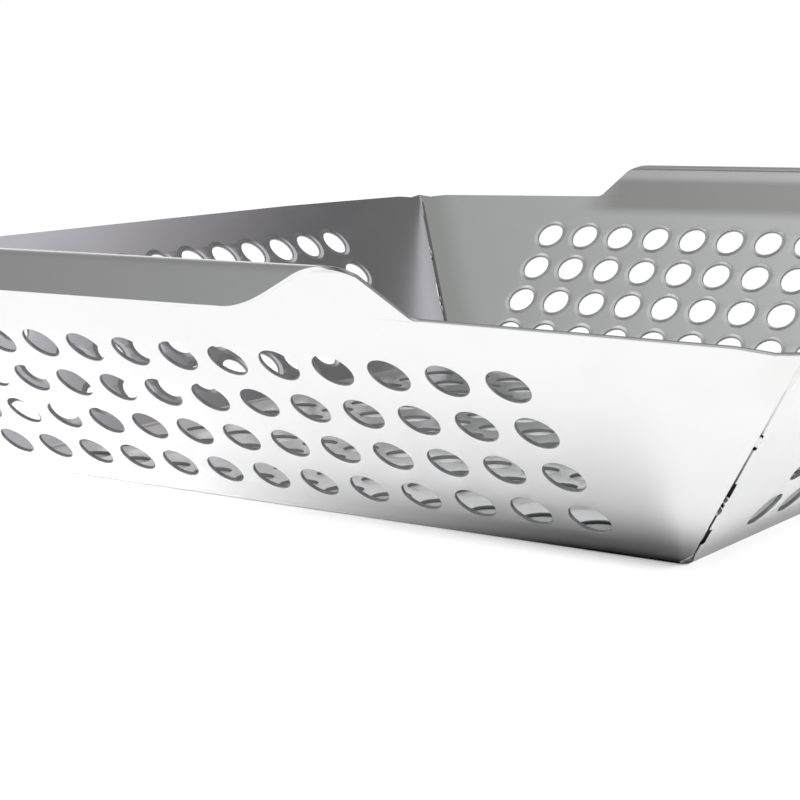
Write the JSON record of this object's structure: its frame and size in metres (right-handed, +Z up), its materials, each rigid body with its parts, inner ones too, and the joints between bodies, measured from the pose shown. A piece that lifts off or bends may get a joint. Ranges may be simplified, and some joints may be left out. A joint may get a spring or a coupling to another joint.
{
  "type": "grill topper",
  "caption": "Square flared basket of perforated stainless sheet with curled sheet handles on opposite sides, for cooking small food over a grill.",
  "frame": {"origin": "middle of the underside, on the surface that the basket stands on", "axes": "+Z up, +Y from the front handle to the back handle, +X to the right when seen from the front"},
  "size_m": [0.3432, 0.3912, 0.0729],
  "materials": {
    "stainless_sheet": "bright satin stainless sheet, finely brushed, with polished rounded edges at the punched holes",
    "weld_metal": "ground stainless weld with a faint straw heat tint"
  },
  "bodies": {
    "root": {"floor_panel": "stainless_sheet", "front_wall": "stainless_sheet", "right_wall": "stainless_sheet", "back_wall": "stainless_sheet", "left_wall": "stainless_sheet", "front_handle": "stainless_sheet", "back_handle": "stainless_sheet", "tack_front_right_1": "weld_metal", "tack_front_right_2": "weld_metal", "tack_front_right_3": "weld_metal", "tack_front_right_4": "weld_metal", "tack_front_left_1": "weld_metal", "tack_front_left_2": "weld_metal", "tack_front_left_3": "weld_metal", "tack_front_left_4": "weld_metal", "tack_back_left_1": "weld_metal", "tack_back_left_2": "weld_metal", "tack_back_left_3": "weld_metal", "tack_back_left_4": "weld_metal", "tack_back_right_1": "weld_metal", "tack_back_right_2": "weld_metal", "tack_back_right_3": "weld_metal", "tack_back_right_4": "weld_metal"}
  },
  "joints": []
}
